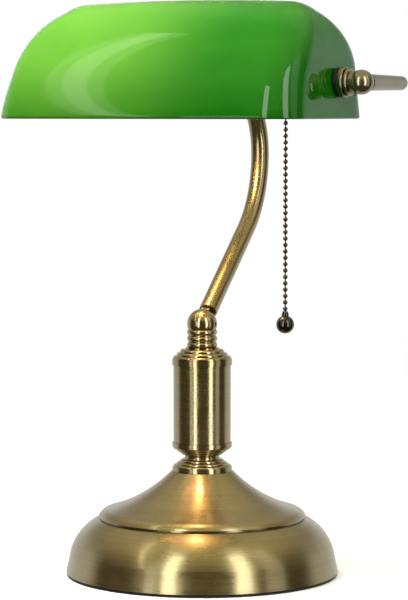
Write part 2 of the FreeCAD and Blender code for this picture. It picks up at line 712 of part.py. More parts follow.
def arm_tongue():
    half = S.tongue_thick * 0.5
    side_spot = (-half, ORIGIN[1], ORIGIN[2])
    eye = cylinder("tongue_eye", S.tongue_eye_radius, S.tongue_thick, side_spot, RIGHT)
    flat = doc.addObject("Part::Box", "tongue_flat")
    for field, size in (("Length", S.tongue_thick), ("Width", S.tongue_half_width * 2),
                        ("Height", S.tongue_shoulder)):
        setattr(flat, field, size.value)
        flat.setExpression(field, size.text)
    place(flat, (-half, -S.tongue_half_width, ORIGIN[2]))
    rim_low = (ORIGIN[0], ORIGIN[1], S.tongue_shoulder)
    rim = cylinder("tongue_rim", S.arm_radius, S.tongue_rim, rim_low)
    plug = cylinder("tongue_plug", S.arm_bore_radius, S.tongue_rim + S.tongue_plug_length, rim_low)
    bore = cylinder("tongue_bore", S.pin_radius + S.pin_clearance, S.tongue_thick, side_spot, RIGHT)
    tongue = cut_away("arm_tongue", fused("tongue_blank", [eye, flat, rim, plug]), [bore], kept=False)
    place(tongue, (ORIGIN[0], ORIGIN[1], S.ball_height), arm_turn())
    keep(tongue, "arm_tongue")


def arm_path(start):
    """Path of the arm in its own frame, whose Z runs along the straight part."""
    total = S.arm_lean + S.arm_top_turn
    low, top = S.arm_low_bend, S.arm_top_bend
    first_y = low * cosine(S.arm_lean) - low
    first_z = S.arm_straight + low * sine(S.arm_lean)
    second_y = first_y + top * (cosine(total) - cosine(S.arm_lean))
    second_z = first_z + top * (sine(total) - sine(S.arm_lean))
    end_y = second_y - S.arm_end * sine(total)
    end_z = second_z + S.arm_end * cosine(total)
    return [(as_size(0), start), (as_size(0), S.arm_straight), (first_y, first_z, low),
            (second_y, second_z, top), (end_y, end_z)]


def arm_tube():
    pivot = (ORIGIN[0], ORIGIN[1], S.ball_height)
    tube_start = S.tongue_shoulder + S.tongue_rim
    wire_start = tube_start + S.tongue_plug_length + S.tongue_rim
    for name, start, outer, inner in (("arm_tube", tube_start, S.arm_radius, S.arm_bore_radius),
                                      ("arm_wires", wire_start, S.wire_radius, None)):
        swept_tube(name, arm_path(start), "YZ_Plane", "XY_Plane", (ORIGIN[0], ORIGIN[1], start),
                   outer, inner, pivot, arm_turn())


def yoke_hub():
    ball = doc.addObject("Part::Sphere", "hub_ball")
    ball.Radius = S.hub_radius.value
    ball.setExpression("Radius", S.hub_radius.text)
    side_spot = (-(S.hub_radius * 2), ORIGIN[1], ORIGIN[2])
    across = cylinder("hub_bar_hole", S.yoke_radius, S.hub_radius * 4, side_spot, RIGHT)
    seat_turn = Rotation(Vector(1, 0, 0), -180 + S.arm_top_turn.value)
    seat_spot = (ORIGIN[0], S.hub_seat * sine(S.arm_top_turn), -(S.hub_seat * cosine(S.arm_top_turn)))
    seat = cylinder("hub_arm_hole", S.arm_radius, S.hub_radius, seat_spot, seat_turn)
    hub = cut_away("yoke_hub", ball, [across, seat], kept=False)
    place(hub, (ORIGIN[0], HUB_Y, HUB_Z))
    keep(hub, "yoke_hub")


def yoke_bar():
    bend = S.yoke_bend
    corner = S.elbow_offset - bend
    path = [(-S.elbow_offset, -bend), (-corner, as_size(0), -bend), (corner, as_size(0)),
            (S.elbow_offset, -bend, -bend)]
    swept_tube("yoke_bar", path, "XY_Plane", "XZ_Plane", (-S.elbow_offset, ORIGIN[1], bend),
               S.yoke_radius, S.yoke_bore_radius, (ORIGIN[0], HUB_Y, HUB_Z), UP)


def side_arm(side, sign):
    length = HUB_Y - S.yoke_bend - KNOB_Y
    collar_low = S.side_collar_start
    collar_top = collar_low + S.side_collar_width
    chamfer = S.side_collar_chamfer
    corners = [
        (S.yoke_bore_radius, S.elbow_socket_depth),
        (S.side_arm_root_radius, S.elbow_socket_depth),
        (S.side_arm_root_radius, collar_low),
        (S.side_collar_radius, collar_low + chamfer),
        (S.side_collar_radius, collar_top - chamfer),
        (S.side_arm_root_radius, collar_top),
        (S.yoke_radius, length),
        (S.yoke_bore_radius, length),
    ]
    turned(f"side_arm_{side}", corners, (S.elbow_offset * sign, KNOB_Y, KNOB_Z), BACK)


def elbow(side, sign, turn):
    """Ball elbow, made with its outer side up and then turned outwards."""
    neck_top = math.sqrt(S.elbow_radius.value ** 2 - S.elbow_neck_radius.value ** 2)
    neck_size = Size(-neck_top, f"(0 - sqrt({S.elbow_radius.text} ^ 2 - {S.elbow_neck_radius.text} ^ 2))")
    nipple_end = -S.nipple_in_elbow
    corners = [
        (S.pipe_radius, -S.elbow_neck_end),
        (S.elbow_neck_radius, -S.elbow_neck_end),
        (S.elbow_neck_radius, neck_size),
        (as_size(0), S.elbow_radius, S.elbow_radius),
        (as_size(0), nipple_end),
        (S.pipe_radius, nipple_end),
    ]
    ball = turned(f"elbow_{side}_blank", corners, ORIGIN, turn, kept=False)
    seat = cylinder(f"elbow_{side}_seat", S.side_arm_root_radius, S.elbow_radius,
                    (ORIGIN[0], S.elbow_socket_depth, ORIGIN[2]), BACK)
    passage = cylinder(f"elbow_{side}_passage", S.elbow_passage_radius, S.elbow_socket_depth, ORIGIN, BACK)
    result = cut_away(f"elbow_{side}", ball, [seat, passage], kept=False)
    place(result, (S.elbow_offset * sign, KNOB_Y, KNOB_Z))
    keep(result, f"elbow_{side}")


def rounded_ring(radius, low, high):
    """Outer side of a ring with rounded edges."""
    edge = S.ring_round
    return [(radius - edge, low), (radius, low + edge, edge),
            (radius, high - edge), (radius - edge, high, edge)]


def end_fittings(side, turn):
    """Rings, nipple, washer and nut on one side, measured outwards from the lamp's middle."""
    axis = (ORIGIN[0], KNOB_Y, KNOB_Z)
    collar_end = COLLAR_NUT_X + S.collar_nut_thick
    corners = [(S.pipe_radius, COLLAR_NUT_X)] + rounded_ring(S.collar_nut_radius, COLLAR_NUT_X, collar_end)
    turned(f"collar_nut_{side}", corners + [(S.pipe_radius, collar_end)], axis, turn)
    boss_end = SPACER_X + S.spacer_boss_thick
    spacer_end = S.elbow_offset - S.elbow_neck_end
    corners = [(S.pipe_radius, SPACER_X), (S.spacer_boss_radius, SPACER_X), (S.spacer_boss_radius, boss_end)]
    corners += rounded_ring(S.spacer_radius, boss_end, spacer_end)
    turned(f"spacer_ring_{side}", corners + [(S.pipe_radius, spacer_end)], axis, turn)
    inner_end = SOCKET_X - S.socket_neck_length if side == "right" else NIPPLE_NUT_X
    ring(f"nipple_{side}", S.pipe_radius, S.nipple_bore_radius, inner_end,
         S.elbow_offset - S.nipple_in_elbow, axis, turn)
    ring(f"inner_washer_{side}", S.inner_washer_radius, S.pipe_radius, INNER_WASHER_X,
         INNER_WASHER_X + S.washer_thick, axis, turn)
    hexagon_nut(f"nipple_nut_{side}", NIPPLE_NUT_X, S.nipple_nut_thick, axis, turn)


# ---- lampholder -----------------------------------------------------------------------

def lampholder():
    axis = (ORIGIN[0], KNOB_Y, KNOB_Z)
    wall = S.socket_wall
    end = SOCKET_X - S.socket_cap_end
    neck_end = SOCKET_X - S.socket_neck_length
    straight_end = end + S.socket_overlap
    cap = [
        (S.pipe_radius, SOCKET_X - wall),
        (S.pipe_radius, neck_end),
        (S.socket_neck_radius, neck_end - wall),
        (S.socket_cap_radius - wall, straight_end, -S.socket_cap_round),
        (S.socket_cap_radius - wall, end),
        (S.socket_cap_radius, end),
        (S.socket_cap_radius, straight_end),
        (S.socket_neck_radius, neck_end, S.socket_cap_round),
        (S.socket_neck_radius, SOCKET_X - wall),
    ]
    turned("socket_cap", cap, axis, RIGHT)
    shell_end = SHELL_X - S.socket_shell_length
    shell_inner = S.socket_shell_radius - wall
    shell = ring("socket_shell_blank", S.socket_shell_radius, shell_inner, shell_end, SHELL_X,
                 axis, RIGHT, False)
    cut_away("socket_shell", shell, [chain_hole("shell")])
    liner_low = shell_end + S.liner_wall
    liner = ring("socket_liner_blank", S.socket_cap_radius - wall, S.block_radius, liner_low, BLOCK_X,
                 axis, RIGHT, False)
    cut_away("socket_liner", liner, [chain_hole("liner")])
    block = rod("switch_block_blank", S.block_radius, SCREW_X, BLOCK_X, axis, RIGHT, False)
    well_low = KNOB_Z - S.socket_shell_radius
    well = cylinder("chain_well", S.chain_well_radius, S.chain_well_top - well_low,
                    (S.chain_offset, KNOB_Y, well_low))
    recess = cylinder("contact_recess", S.contact_radius, S.contact_height, (SCREW_X, KNOB_Y, KNOB_Z), RIGHT)
    cut_away("switch_block", block, [well, chain_hole("block"), recess])
    rod("centre_contact", S.contact_radius, SCREW_X, SCREW_X + S.contact_height, axis, RIGHT)
    screw_mouth = SCREW_X - S.screw_depth
    ring("screw_shell", S.screw_shell_radius, S.screw_bore_radius, screw_mouth, SCREW_X, axis, RIGHT)


def chain_hole(owner):
    """Hole for the chain's guide in one of the lampholder's pieces."""
    low = KNOB_Z - S.socket_shell_radius - S.bell_radius
    spot = (S.chain_offset, KNOB_Y, low)
    return cylinder(f"guide_hole_{owner}", S.bell_radius, S.bell_top_height + S.bell_seat - low, spot)


def chain_guide():
    spot = (S.chain_offset, KNOB_Y, ORIGIN[2])
    mouth_top = S.bell_low_height + S.bell_mouth_height
    corners = [
        (S.bell_bore_radius, S.bell_low_height),
        (S.bell_mouth_radius, S.bell_low_height),
        (S.bell_radius, mouth_top),
        (S.bell_radius, S.bell_top_height),
        (S.bell_bore_radius, S.bell_top_height),
    ]
    turned("chain_guide", corners, spot)


# ---- pull chain -----------------------------------------------------------------------

def bead_string(name, first, count, low, high):
    """Beads on their links, as one solid piece of chain, with a round head at its top."""
    wire = S.chain_wire_radius.value
    links = Part.makeCylinder(wire, high - low, Vector(0, 0, low))
    beads = [Part.makeSphere(wire, Vector(0, 0, high))]
    for number in range(first, first + count):
        height = S.chain_low_height.value + number * S.bead_pitch.value
        beads.append(Part.makeSphere(S.bead_radius.value, Vector(0, 0, height)))
    chain = doc.addObject("Part::Feature", name)
    chain.Shape = links.multiFuse(beads)
    place(chain, (S.chain_offset, KNOB_Y, ORIGIN[2]))
    keep(chain, name)


def pull_chain():
    hanging = int(S.hanging_beads.value)
    guided = int(S.guided_beads.value)
    low_bead = S.chain_low_height.value + hanging * S.bead_pitch.value
    top_bead = low_bead + (guided - 1) * S.bead_pitch.value
    bead_string("guided_chain", hanging, guided, low_bead, top_bead)
    bead_string("pull_chain", 0, hanging, S.pendant_collar_top.value, HINGE_Z.value)


def chain_pendant():
    spot = (S.chain_offset, KNOB_Y, ORIGIN[2])
    top = S.pendant_height + S.pendant_radius - S.pendant_flat
    edge = math.sqrt(S.pendant_radius.value ** 2 - (top.value - S.pendant_height.value) ** 2)
    edge_text = f"sqrt({S.pendant_radius.text} ^ 2 - ({top.text} - {S.pendant_height.text}) ^ 2)"
    ball = [
        (as_size(0), S.pendant_height - S.pendant_radius),
        (Size(edge, edge_text), top, S.pendant_radius),
        (as_size(0), top),
    ]
    turned("chain_pendant", ball, spot)
    collar_top = S.pendant_collar_top
    collar_corners = [
        (as_size(0), top),
        (S.pendant_collar_radius, top),
        (S.bead_radius, collar_top, S.pendant_collar_radius * 2),
        (as_size(0), collar_top),
    ]
    turned("pendant_collar", collar_corners, spot)


# ---- glass shade ----------------------------------------------------------------------

def rounded(part, whole):
    """Height of a quarter circle of radius 1 at a fraction of its width."""
    return math.sqrt(max(1 - min(part / whole, 1) ** 2, 0))


def shade_section(level, inset):
    """Half length, front and rear reach of the shade at a level over the rim."""
    height = S.shade_height.value - inset
    shoulder = S.shade_shoulder.value
    above = max(level - shoulder, 0)
    arch = rounded(above, height - shoulder)
    draft = S.shade_end_draft.value * min(level / shoulder, 1)
    round_end = S.shade_end_round.value
    half = S.shade_half_length.value - inset - draft - round_end * (1 - arch)
    fullness = 1 - min(max(level, 0) / height, 1) ** S.shade_front_power.value
    front = (S.shade_front.value - inset) * math.sqrt(max(fullness, 0))
    rear = (S.shade_rear.value - inset) * arch
    return half, front, rear


def section_wire(level, inset):
    """Rounded rectangle of the shade at one level."""
    half, front, rear = shade_section(max(level, 0), inset)
    corner = min(S.shade_corner.value - inset, S.shade_corner_share.value * (front + rear))
    low = Vector(-half, -front, level)
    high = Vector(half, rear, level)
    slide = corner * (1 - math.sqrt(0.5))
    edges = []
    spots = [(high.x, high.y, 1, 1), (low.x, high.y, -1, 1), (low.x, low.y, -1, -1), (high.x, low.y, 1, -1)]
    previous = None
    first = None
    for index, (x, y, sx, sy) in enumerate(spots):
        along = Vector(x, y - sy * corner, level)
        across = Vector(x - sx * corner, y, level)
        middle = Vector(x - sx * slide, y - sy * slide, level)
        begin, finish = (along, across) if index % 2 == 0 else (across, along)
        if previous is not None:
            edges.append(Part.makeLine(previous, begin))
        edges.append(Part.Arc(begin, middle, finish).toShape())
        first = first or begin
        previous = finish
    edges.append(Part.makeLine(previous, first))
    return Part.Wire(edges)


def shade_solid(inset, lowest):
    """Smooth loft of the shade's sections, closer together towards the ridge."""
    height = S.shade_height.value - inset
    crown = S.shade_crown_share.value
    shares = (0, 0.18, 0.36, 0.52, 0.66, 0.78, 0.87, 0.94, 1 - crown)
    wires = [section_wire(share * height, inset) for share in shares]
    solid = Part.makeLoft(wires, True, False)
    if lowest < 0:
        face = Part.Face(wires[0])
        solid = solid.fuse(face.extrude(Vector(0, 0, lowest)))
    flat = crown * S.shade_crown_flat.value
    cap = Part.makeLoft([wires[-1], section_wire((1 - flat) * height, inset)], True, True)
    return solid.fuse(cap).removeSplitter()


def glass_shade():
    glass = shade_solid(0, 0).cut(shade_solid(S.shade_wall.value, -S.shade_wall.value))
    axis_height = S.shade_rim_drop.value
    reach = S.shade_half_length.value + S.shade_wall.value
    far_left = Vector(-reach, 0, axis_height)
    glass = glass.cut(Part.makeCylinder(S.grommet_sleeve_radius.value, 2 * reach, far_left, Vector(1, 0, 0)))
    for sign in (1, -1):
        outward = Vector(sign, 0, 0)
        outer = Vector(sign * S.spot_out.value, 0, axis_height)
        glass = glass.cut(Part.makeCylinder(S.spot_radius.value, S.shade_wall.value, outer, outward))
        inner = Vector(sign * (S.spot_in.value - S.shade_wall.value), 0, axis_height)
        glass = glass.cut(Part.makeCylinder(S.spot_radius.value, S.shade_wall.value, inner, outward))
    shade = doc.addObject("Part::Feature", "glass_shade")
    shade.Shape = glass
    place(shade, (ORIGIN[0], KNOB_Y, RIM_Z))
    keep(shade, "glass_shade")


def grommet(side, turn):
    axis = (ORIGIN[0], KNOB_Y, KNOB_Z)
    corners = [
        (S.grommet_bore_radius, GROMMET_IN),
        (S.grommet_radius, GROMMET_IN),
        (S.grommet_radius, S.spot_in),
        (S.grommet_sleeve_radius, S.spot_in),
        (S.grommet_sleeve_radius, S.spot_out),
        (S.grommet_radius, S.spot_out),
        (S.grommet_radius, GROMMET_OUT),
        (S.grommet_bore_radius, GROMMET_OUT),
    ]
    turned(f"shade_grommet_{side}", corners, axis, turn)


# ---- whole lamp -----------------------------------------------------------------------

def check_document():
    doc.recompute()
    for item in doc.Objects:
        if "Invalid" in item.State or "Error" in item.State:
            raise RuntimeError(f"{item.Name} did not recompute: {item.State}")
    for item in parts:
        if item.Shape.isNull() or not item.Shape.isValid():
            raise RuntimeError(f"{item.Label} is not a valid shape")


def main():
    base_inside()
    base_shell()
    cord_bushing()
    column()
    collar()
    swivel()
    pivot_ball()
    tilt_pin()
    arm_tongue()
    arm_tube()
    yoke_hub()
    yoke_bar()
    for side, sign, turn in (("left", -1, LEFT), ("right", 1, RIGHT)):
        side_arm(side, sign)
        elbow(side, sign, turn)
        end_fittings(side, turn)
        grommet(side, turn)
    lampholder()
    chain_guide()
    pull_chain()
    chain_pendant()
    glass_shade()
    check_document()
    os.makedirs("parts", exist_ok=True)
    for item in parts:
        item.Shape.exportStep(f"parts/{item.Label}.step")
        print(item.Label, len(item.Shape.Solids), round(item.Shape.Volume, 1))


main()
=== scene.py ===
"""Banker desk lamp: finishes, pressed glass shade, floor, lights and camera around the CAD frame."""

import math

import bpy
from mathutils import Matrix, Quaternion, Vector

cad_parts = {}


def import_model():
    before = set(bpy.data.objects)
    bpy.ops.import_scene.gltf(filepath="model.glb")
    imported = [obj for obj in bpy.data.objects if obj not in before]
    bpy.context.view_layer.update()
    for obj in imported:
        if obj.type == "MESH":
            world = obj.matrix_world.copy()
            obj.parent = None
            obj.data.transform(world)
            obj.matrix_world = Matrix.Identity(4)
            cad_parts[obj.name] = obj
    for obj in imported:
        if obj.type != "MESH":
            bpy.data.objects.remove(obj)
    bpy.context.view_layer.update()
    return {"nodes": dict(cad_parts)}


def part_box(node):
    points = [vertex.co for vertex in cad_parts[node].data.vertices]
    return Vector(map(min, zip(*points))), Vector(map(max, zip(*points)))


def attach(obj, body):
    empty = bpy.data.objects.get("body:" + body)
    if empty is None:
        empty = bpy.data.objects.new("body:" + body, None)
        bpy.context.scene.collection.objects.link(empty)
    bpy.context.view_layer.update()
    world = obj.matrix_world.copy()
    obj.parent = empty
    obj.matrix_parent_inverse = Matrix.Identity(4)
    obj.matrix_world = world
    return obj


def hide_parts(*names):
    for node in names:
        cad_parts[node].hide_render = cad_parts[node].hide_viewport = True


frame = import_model()
MM = 0.001


# ---- node trees -----------------------------------------------------------------------

NOISE_LOW, NOISE_HIGH = 0.3, 0.7
CREVICE_SAMPLES = 6


class Nodes:
    """A node tree with short ways to add nodes and join them."""

    def __init__(self, tree):
        self.tree = tree

    def node(self, kind, **settings):
        made = self.tree.nodes.new(kind)
        for label, value in settings.items():
            setattr(made, label, value)
        return made

    def feed(self, socket, value):
        """Links an output to a socket, or sets the socket to a plain value."""
        if isinstance(value, bpy.types.NodeSocket):
            self.tree.links.new(value, socket)
        else:
            socket.default_value = value

    def maths(self, operation, *values):
        made = self.node("ShaderNodeMath", operation=operation)
        for socket, value in zip(made.inputs, values):
            self.feed(socket, value)
        return made.outputs[0]

    def parts(self, vector):
        """The X, Y and Z outputs of a vector."""
        made = self.node("ShaderNodeSeparateXYZ")
        self.feed(made.inputs[0], vector)
        return tuple(made.outputs)

    def remap(self, value, low, high, to_low, to_high):
        made = self.node("ShaderNodeMapRange", interpolation_type="SMOOTHSTEP")
        for socket, item in zip(made.inputs, (value, low, high, to_low, to_high)):
            self.feed(socket, item)
        return made.outputs["Result"]

    def spread(self, noise, to_low, to_high):
        """Remaps the range that most of a noise lies in."""
        return self.remap(noise, NOISE_LOW, NOISE_HIGH, to_low, to_high)

    def blend(self, factor, first, second):
        made = self.node("ShaderNodeMix", data_type="RGBA")
        self.feed(made.inputs["Factor"], factor)
        self.feed(made.inputs["A"], (*first, 1) if isinstance(first, tuple) else first)
        self.feed(made.inputs["B"], (*second, 1) if isinstance(second, tuple) else second)
        return made.outputs["Result"]


class Finish(Nodes):
    """A material with one Principled shader and short ways to give it procedural detail."""

    def __init__(self, name, **sockets):
        self.material = bpy.data.materials.new(name)
        self.material.use_nodes = True
        super().__init__(self.material.node_tree)
        self.shader = self.tree.nodes["Principled BSDF"]
        self.place = self.node("ShaderNodeTexCoord").outputs["Object"]
        for label, value in sockets.items():
            self.set(label.replace("_", " "), value)

    def set(self, label, value):
        self.feed(self.shader.inputs[label], value)

    def noise(self, scale, detail, place=None, depth=None):
        made = self.node("ShaderNodeTexNoise", noise_dimensions="3D" if depth is None else "4D")
        self.feed(made.inputs["Vector"], self.place if place is None else place)
        self.feed(made.inputs["Scale"], scale)
        self.feed(made.inputs["Detail"], detail)
        if depth is not None:
            self.feed(made.inputs["W"], depth)
        return made.outputs["Fac"]

    def stretched(self, scale):
        """The piece's coordinates, scaled by a different amount along each axis."""
        made = self.node("ShaderNodeMapping")
        self.feed(made.inputs["Vector"], self.place)
        self.feed(made.inputs["Scale"], scale)
        return made.outputs["Vector"]

    def local(self, centre, turn):
        """Coordinates with their origin at a point of the lamp and, after the turn, the axis as Z."""
        move = self.node("ShaderNodeVectorMath", operation="SUBTRACT")
        self.feed(move.inputs[0], self.place)
        self.feed(move.inputs[1], centre)
        spin = self.node("ShaderNodeMapping", vector_type="POINT")
        self.feed(spin.inputs["Vector"], move.outputs[0])
        self.feed(spin.inputs["Rotation"], turn)
        return spin.outputs["Vector"]

    def brushing(self, place, across, along):
        """Fine lines that run round the local Z axis: dense across them, and long along them."""
        x, y, z = self.parts(place)
        squares = [self.maths("MULTIPLY", value, value) for value in (x, y)]
        radius = self.maths("SQRT", self.maths("ADD", *squares))
        joined = self.node("ShaderNodeCombineXYZ")
        for socket, value, scale in zip(joined.inputs, (x, y, z), (along, along, across)):
            self.feed(socket, self.maths("MULTIPLY", value, scale))
        return self.noise(1.0, 2.0, joined.outputs[0], self.maths("MULTIPLY", radius, across))

    def bump(self, height, distance, strength, under=None):
        made = self.node("ShaderNodeBump")
        self.feed(made.inputs["Height"], height)
        self.feed(made.inputs["Distance"], distance)
        self.feed(made.inputs["Strength"], strength)
        if under is not None:
            self.feed(made.inputs["Normal"], under)
        return made.outputs["Normal"]

    def crevice(self, reach):
        """Ambient occlusion, used to paint shade: 1 on open surfaces, towards 0 in corners, grooves and near
        other pieces.
        """
        made = self.node("ShaderNodeAmbientOcclusion", samples=CREVICE_SAMPLES, only_local=False)
        self.feed(made.inputs["Distance"], reach)
        return made.outputs["AO"]


def darker(tone, share=0.6):
    """The share of a tone that is left in its darker places."""
    return tuple(share * part for part in tone)


# ---- places read from the frame -------------------------------------------------------

def middle(node):
    low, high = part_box(node)
    return (low + high) / 2


KNOB = middle("elbow_right")
KNOB.x = 0
SOCKET = middle("screw_shell")
SHADE_LOW, SHADE_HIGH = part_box("glass_shade")
SHADE_HEIGHT = SHADE_HIGH.z - SHADE_LOW.z


# ---- metals ---------------------------------------------------------------------------

BRASS_LIGHT = (0.50, 0.405, 0.215)
BRASS_OLIVE = (0.41, 0.345, 0.160)
BRASS_DARK = (0.10, 0.07, 0.025)
BRASS_GREY = (0.42, 0.37, 0.26)
BRASS_SMOKE = (0.30, 0.26, 0.17)
LACQUER = 0.6
QUARTER_TURN = 0.25
FINE_LINES = (3200.0, 9.0)
COARSE_LINES = (700.0, 4.0)
ALONG_Z = (0, 0, 0)
ALONG_X = (0, math.pi / 2, 0)
ZINC = (0.42, 0.42, 0.43)
IRON = (0.06, 0.06, 0.062)
RUST = (0.16, 0.07, 0.03)
# tone of the painted shade in the steel's corners and grooves
STEEL_SHADE_TONE = (0.06, 0.055, 0.05)
BRONZE = (0.042, 0.039, 0.036)
BRONZE_WORN = (0.12, 0.10, 0.08)
# tone of the painted shade between the beads
BRONZE_SHADE = (0.012, 0.010, 0.008)
ALUMINIUM_LIGHT = (0.78, 0.78, 0.76)
ALUMINIUM_DULL = (0.6, 0.6, 0.58)


def brass(name, roughness, grain, centre=(0, 0, 0), turn=ALONG_Z, ring=None, stretch=0.0,
          light=BRASS_LIGHT, olive=BRASS_OLIVE):
    """Lacquered antique brass with brushing that runs round the piece's axis.

    turn lays the piece's axis along local Z, grain is the depth of the brushing, and stretch
    draws highlights out along the axis named by ring.
    """
    finish = Finish(name, Metallic=1.0, Anisotropic=stretch, Anisotropic_Rotation=QUARTER_TURN,
                    Coat_Weight=LACQUER, Coat_Roughness=0.07)
    place = finish.local(centre, turn)
    fine = finish.brushing(place, *FINE_LINES)
    coarse = finish.brushing(place, *COARSE_LINES)
    clouds = finish.remap(finish.noise(16.0, 4.0), 0.35, 0.68, 0.0, 1.0)
    lines = finish.remap(coarse, 0.40, 0.64, 0.0, 0.12)
    pits = finish.remap(finish.noise(900.0, 2.0), 0.70, 0.80, 0.0, 0.35)
    # Painted shade: ambient occlusion darkens the colour in corners, grooves and near other pieces; it also
    # stands for the patina of old brass in its hollows.
    painted_shade = finish.remap(finish.crevice(2.5 * MM), 0.35, 0.85, 0.75, 0.0)
    tone = finish.blend(clouds, light, olive)
    for share in (lines, pits, painted_shade):
        tone = finish.blend(share, tone, BRASS_DARK)
    finish.set("Base Color", tone)
    grooved = finish.spread(fine, roughness - 0.03, roughness + 0.03)
    smear = finish.remap(finish.noise(55.0, 5.0), 0.30, 0.75, -0.04, 0.06)
    finish.set("Roughness", finish.maths("ADD", grooved, smear))
    under = finish.bump(coarse, 0.02 * MM, grain)
    finish.set("Normal", finish.bump(fine, 0.01 * MM, grain, under))
    if ring is not None:
        tangent = finish.node("ShaderNodeTangent", direction_type="RADIAL", axis=ring)
        finish.set("Tangent", tangent.outputs[0])
    return finish.material


def steel():
    """Zinc-plated steel with a faint spangle."""
    finish = Finish("zinc_steel", Metallic=1.0)
    spangle = finish.noise(240.0, 3.0)
    # Painted shade: ambient occlusion darkens the zinc in corners, grooves and near other pieces.
    steel_shade = finish.remap(finish.crevice(2 * MM), 0.3, 0.9, 0.7, 0.0)
    mottled = finish.blend(finish.remap(spangle, 0.35, 0.7, 0.0, 0.5), ZINC, darker(ZINC))
    finish.set("Base Color", finish.blend(steel_shade, mottled, STEEL_SHADE_TONE))
    finish.set("Roughness", finish.spread(spangle, 0.26, 0.44))
    finish.set("Normal", finish.bump(spangle, 0.03 * MM, 0.4))
    return finish.material


def casting():
    """Rough iron casting with a sandy skin."""
    finish = Finish("cast_iron", Metallic=0.6)
    sand = finish.noise(700.0, 5.0)
    rust = finish.remap(finish.noise(40.0, 5.0), 0.55, 0.75, 0.0, 0.6)
    finish.set("Base Color", finish.blend(rust, IRON, RUST))
    finish.set("Roughness", finish.spread(sand, 0.55, 0.85))
    finish.set("Normal", finish.bump(sand, 0.25 * MM, 0.8))
    return finish.material


def dark_bronze():
    """Glossy blackened brass of the bead chain, worn lighter in patches."""
    finish = Finish("dark_bronze", Metallic=1.0, Coat_Weight=1.0, Coat_Roughness=0.03)
    wear = finish.noise(420.0, 4.0)
    tone = finish.blend(finish.remap(wear, 0.56, 0.72, 0.0, 0.8), BRONZE, BRONZE_WORN)
    # Painted shade: ambient occlusion darkens the chain between its beads and near other pieces.
    painted_shade = finish.remap(finish.crevice(1.2 * MM), 0.3, 0.9, 0.8, 0.0)
    finish.set("Base Color", finish.blend(painted_shade, tone, BRONZE_SHADE))
    finish.set("Roughness", finish.spread(wear, 0.10, 0.22))
    finish.set("Normal", finish.bump(finish.noise(1300.0, 2.0), 0.01 * MM, 0.5))
    return finish.material


def aluminium():
    """Drawn aluminium with marks of the drawing die."""
    finish = Finish("bright_shell", Metallic=1.0)
    marks = finish.brushing(finish.local(SOCKET, ALONG_X), 1500.0, 20.0)
    finish.set("Base Color", finish.blend(finish.spread(marks, 0.0, 1.0), ALUMINIUM_LIGHT, ALUMINIUM_DULL))
    finish.set("Roughness", finish.spread(marks, 0.22, 0.36))
    finish.set("Normal", finish.bump(marks, 0.02 * MM, 0.6))
    return finish.material


# ---- felt, rubber and plastics --------------------------------------------------------

FELT_DARK = (0.008, 0.009, 0.008)
FELT_LIGHT = (0.045, 0.047, 0.044)
RUBBER = (0.012, 0.012, 0.012)
RUBBER_BLOOM = (0.035, 0.035, 0.035)
PHENOLIC = (0.035, 0.028, 0.022)
FIBRE = (0.30, 0.21, 0.12)
JACKET = (0.33, 0.25, 0.12)


def felt():
    """Pressed black felt: fibres drawn out one way, tufts and a soft sheen."""
    finish = Finish("black_felt", Sheen_Weight=0.5, Sheen_Roughness=0.4)
    fibres = finish.noise(1100.0, 5.0, finish.stretched((1.0, 4.0, 1.0)))
    tufts = finish.noise(260.0, 4.0)
    finish.set("Base Color", finish.blend(fibres, FELT_DARK, FELT_LIGHT))
    finish.set("Roughness", finish.spread(tufts, 0.85, 1.0))
    under = finish.bump(tufts, 0.3 * MM, 0.6)
    finish.set("Normal", finish.bump(fibres, 0.15 * MM, 0.8, under))
    return finish.material


def rubber():
    """Black moulded rubber with a dusty bloom."""
    finish = Finish("black_rubber", IOR=1.5)
    bloom = finish.noise(120.0, 5.0)
    grit = finish.noise(1500.0, 2.0)
    finish.set("Base Color", finish.blend(finish.remap(bloom, 0.45, 0.7, 0.0, 0.6), RUBBER, RUBBER_BLOOM))
    finish.set("Roughness", finish.spread(bloom, 0.38, 0.6))
    finish.set("Normal", finish.bump(grit, 0.03 * MM, 0.5))
    return finish.material


def plastic(name, tone, roughness=0.45):
    """Moulded plastic or pressed board with a fine texture."""
    finish = Finish(name)
    grain = finish.noise(800.0, 4.0)
    patches = finish.noise(60.0, 4.0)
    finish.set("Base Color", finish.blend(finish.remap(patches, 0.35, 0.7, 0.0, 1.0), tone, darker(tone)))
    finish.set("Roughness", finish.spread(grain, roughness - 0.08, roughness + 0.1))
    finish.set("Normal", finish.bump(grain, 0.05 * MM, 0.4))
    return finish.material


# ---- glass ----------------------------------------------------------------------------

# The first three greens are lit and shaded copies of the glass colour: painted light and shade.
GLASS_LIT_LEFT = (0.118, 0.345, 0.031)
GLASS_SHADED_RIGHT = (0.003, 0.145, 0.001)
GLASS_RIM_SHADE = (0.003, 0.130, 0.001)
GLASS_DENSE = (0.008, 0.175, 0.003)
GLASS_REAM = (0.045, 0.29, 0.010)
GLASS_SEED = (0.20, 0.62, 0.10)
RIM_SHADE_BAND = 45 * MM
SCATTER_RADIUS = (0.45, 1.0, 0.12)
OPAL_LIGHT = (0.86, 0.88, 0.84)
OPAL_GREEN = (0.78, 0.83, 0.76)


